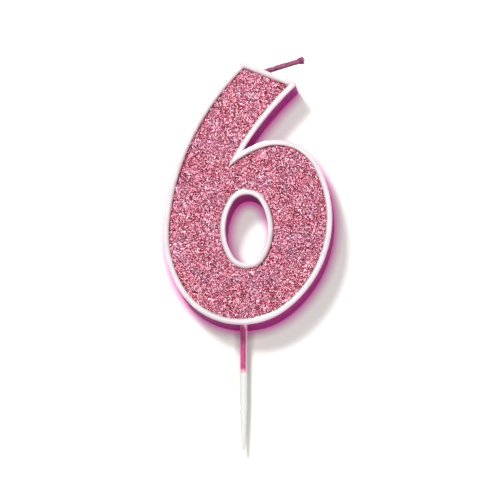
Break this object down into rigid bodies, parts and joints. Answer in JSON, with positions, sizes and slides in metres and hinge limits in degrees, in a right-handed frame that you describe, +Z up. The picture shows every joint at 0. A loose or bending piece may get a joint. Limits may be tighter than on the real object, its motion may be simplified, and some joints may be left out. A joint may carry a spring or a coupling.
{
  "type": "number birthday candle",
  "caption": "Flat wax candle shaped as a figure six with a glitter face, raised white rims, a short bendable wick and a pointed plastic pick.",
  "frame": {"origin": "on the pick's axis, level with the figure's lowest point, where the icing would be", "axes": "+Z up the figure, +X to the right of its face, +Y from its glitter face to its back"},
  "size_m": [0.0441, 0.011, 0.1047],
  "materials": {
    "magenta_wax": "cast paraffin wax, coloured through, satin",
    "white_wax": "white wax bead, smooth",
    "clear_glue": "clear glue film, tinted by the glitter",
    "pink_glitter": "hexagonal film glitter in several pinks",
    "cotton": "twisted cotton, waxed",
    "plum_wax": "coloured wax skin over the cotton",
    "white_plastic": "moulded plastic, slightly translucent",
    "pink_wax": "thin bright wax skin, glossy"
  },
  "bodies": {
    "candle": {"wax_figure": "magenta_wax", "outer_rim": "white_wax", "counter_rim": "white_wax", "glue_film": "clear_glue", "glitter_layer": "pink_glitter", "buried_wick": "cotton", "pick": "white_plastic", "pick_sleeve": "pink_wax"},
    "wick_end": {"wick_skin": "plum_wax", "wick_ply_1": "cotton", "wick_ply_2": "cotton", "wick_ply_3": "cotton"}
  },
  "joints": [
    {"name": "wick_bend", "type": "hinge", "parent": "candle", "child": "wick_end", "pos_m": [0.00505, 0, 0.06888], "axis": [0, -1, 0], "range_deg": [-20, 73.7]}
  ]
}
